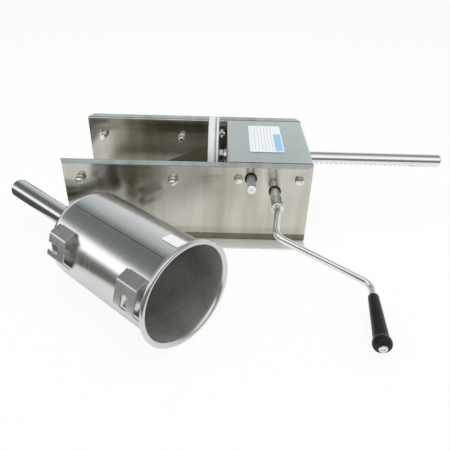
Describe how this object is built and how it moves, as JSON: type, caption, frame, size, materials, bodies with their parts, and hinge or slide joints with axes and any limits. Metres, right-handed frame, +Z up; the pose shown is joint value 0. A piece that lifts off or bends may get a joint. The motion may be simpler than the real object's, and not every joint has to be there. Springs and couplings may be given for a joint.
{
  "type": "sausage stuffer",
  "caption": "Hand-cranked table-top sausage stuffer: open frame with gearbox, geared piston rod, cranked shaft, and a hooked barrel with stuffing tube lying in front.",
  "frame": {"origin": "on the table, under the middle of the base plate", "axes": "+X along the frame from the barrel's end to the gearbox, +Z up, +Y away from the crank side"},
  "size_m": [0.6754, 0.4392, 0.1683],
  "materials": {
    "brushed_steel_sheet": "brushed stainless sheet, grain along the folds",
    "machined_steel": "turned or milled stainless",
    "polished_steel": "polished stainless",
    "black_rubber": "matt black rubber",
    "black_plastic": "satin black plastic",
    "white_plastic": "satin white food-grade plastic",
    "white_label": "printed foil, left bare"
  },
  "bodies": {
    "frame": {"base_plate": "brushed_steel_sheet", "near_side_panel": "brushed_steel_sheet", "far_side_panel": "brushed_steel_sheet", "gearbox_front_plate": "brushed_steel_sheet", "gearbox_rear_plate": "brushed_steel_sheet", "gearbox_cover": "brushed_steel_sheet", "blank_rating_plate": "white_label", "gearbox_front_rod_bush": "machined_steel", "gearbox_rear_rod_bush": "machined_steel", "gear_carrier_plate": "machined_steel", "fast_near_bush": "machined_steel", "fast_far_bush": "machined_steel", "slow_near_bush": "machined_steel", "fast_shaft_seal": "black_rubber", "slow_shaft_seal": "black_rubber", "near_front_pin": "polished_steel", "near_front_acorn_nut": "polished_steel", "near_rear_pin": "polished_steel", "near_rear_acorn_nut": "polished_steel", "near_gearbox_front_bolt": "polished_steel", "near_gearbox_front_nut": "polished_steel", "near_gearbox_rear_bolt": "polished_steel", "near_gearbox_rear_nut": "polished_steel", "far_front_pin": "polished_steel", "far_front_acorn_nut": "polished_steel", "far_rear_pin": "polished_steel", "far_rear_acorn_nut": "polished_steel", "far_gearbox_front_bolt": "polished_steel", "far_gearbox_front_nut": "polished_steel", "far_gearbox_rear_bolt": "polished_steel", "far_gearbox_rear_nut": "polished_steel"},
    "fast_drive": {"fast_shaft": "polished_steel", "rack_pinion": "machined_steel", "drive_gear": "machined_steel"},
    "slow_drive": {"slow_shaft": "polished_steel", "slow_pinion": "machined_steel"},
    "piston_rod": {"rack_rod": "polished_steel", "piston_disc": "white_plastic", "piston_seal_ring": "white_plastic", "piston_backing_disc": "white_plastic", "piston_nut": "polished_steel"},
    "air_valve": {"piston_air_valve": "machined_steel"},
    "crank": {"crank_arm": "polished_steel", "crank_set_screw": "machined_steel", "grip_bolt": "polished_steel"},
    "grip": {"crank_grip": "black_plastic"},
    "barrel_body": {"barrel": "brushed_steel_sheet", "blank_barrel_label": "white_label", "outlet_spigot": "machined_steel", "rear_bracket_near": "brushed_steel_sheet", "rear_bracket_far": "brushed_steel_sheet", "front_bracket_near": "brushed_steel_sheet", "front_bracket_far": "brushed_steel_sheet", "tube_gasket": "white_plastic"},
    "tube": {"stuffing_tube": "polished_steel"},
    "tube_nut": {"tube_ring_nut": "machined_steel"}
  },
  "joints": [
    {"name": "fast_shaft_turn", "type": "hinge", "parent": "frame", "child": "fast_drive", "pos_m": [0.1275, 0, 0.09], "axis": [0, -1, 0], "range_deg": [0, 180]},
    {"name": "slow_shaft_turn", "type": "hinge", "parent": "frame", "child": "slow_drive", "pos_m": [0.09125, 0, 0.11009], "axis": [0, -1, 0], "range_deg": [-2770.6, 0]},
    {"name": "rack_slide", "type": "slide", "parent": "frame", "child": "piston_rod", "axis": [-1, 0, 0], "range_m": [0, 0.204]},
    {"name": "air_valve_slide", "type": "slide", "parent": "piston_rod", "child": "air_valve", "axis": [-1, 0, 0], "range_m": [0, 0.002]},
    {"name": "crank_pull_off", "type": "slide", "parent": "fast_drive", "child": "crank", "axis": [0, -1, 0], "range_m": [0, 0.03]},
    {"name": "grip_spin", "type": "hinge", "parent": "crank", "child": "grip", "pos_m": [0.24911, -0.22824, 0.02232], "axis": [-0.1162, -0.9932, -0.0035], "continuous": true},
    {"name": "barrel_lift", "type": "slide", "parent": "frame", "child": "barrel_body", "axis": [0, 0, 1], "range_m": [0, 0.25]},
    {"name": "tube_slide", "type": "slide", "parent": "barrel_body", "child": "tube", "axis": [-0.7439, 0.6675, -0.0332], "range_m": [0, 0.0121]},
    {"name": "tube_nut_turn", "type": "hinge", "parent": "tube", "child": "tube_nut", "pos_m": [-0.14082, -0.14703, 0.06153], "axis": [-0.7439, 0.6675, -0.0332], "range_deg": [0, 2160]}
  ],
  "couplings": [
    {"joint": "slow_shaft_turn", "follows": "fast_shaft_turn", "ratio": -2.6667},
    {"joint": "rack_slide", "follows": "fast_shaft_turn", "m_per_rad": 0.01125},
    {"joint": "tube_slide", "follows": "tube_nut_turn", "m_per_rad": 0.00031831}
  ]
}
